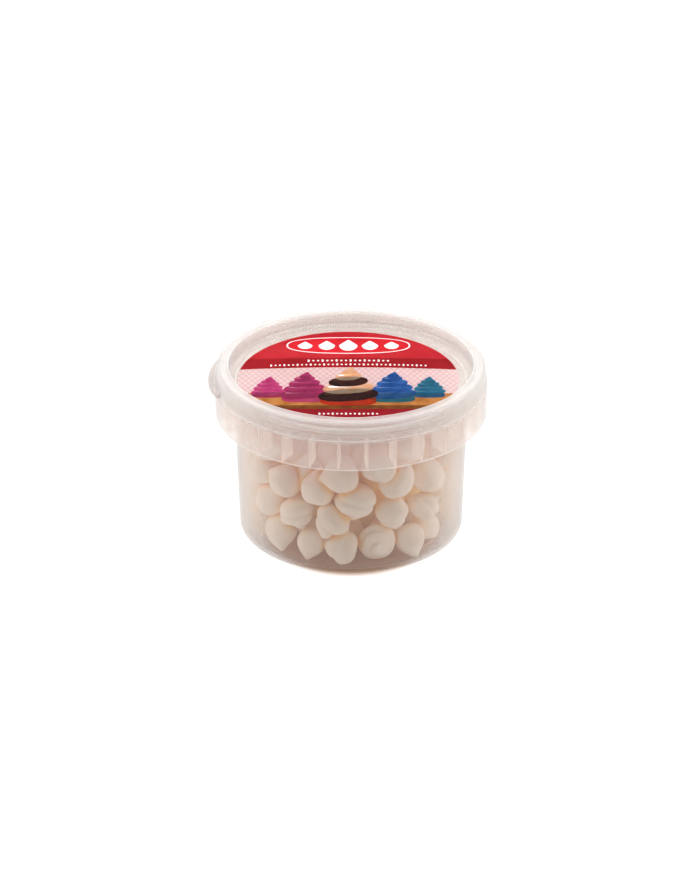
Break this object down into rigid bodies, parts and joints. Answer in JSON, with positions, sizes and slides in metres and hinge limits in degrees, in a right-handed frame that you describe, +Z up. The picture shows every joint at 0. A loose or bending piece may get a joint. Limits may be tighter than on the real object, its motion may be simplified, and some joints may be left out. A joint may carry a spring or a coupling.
{
  "type": "tub of mini meringues",
  "caption": "Round clear snap-lid tub with a ribbed collar, a pull tab and a round printed label in the lid, filled with small piped meringues.",
  "frame": {"origin": "middle of the tub's base, on the surface it stands on", "axes": "+Z up along the tub's axis, -Y to the front, -X to the pull tab"},
  "size_m": [0.1034, 0.101, 0.0665],
  "materials": {
    "tub_plastic": "clear milky moulded polypropylene, satin gloss",
    "lid_plastic": "clear milky moulded polypropylene, satin gloss",
    "printed_label": "printed film, satin gloss",
    "meringue": "dry baked meringue, matte"
  },
  "bodies": {
    "root": {"tub": "tub_plastic", "lid": "lid_plastic", "label": "printed_label", "meringues": "meringue"}
  },
  "joints": []
}
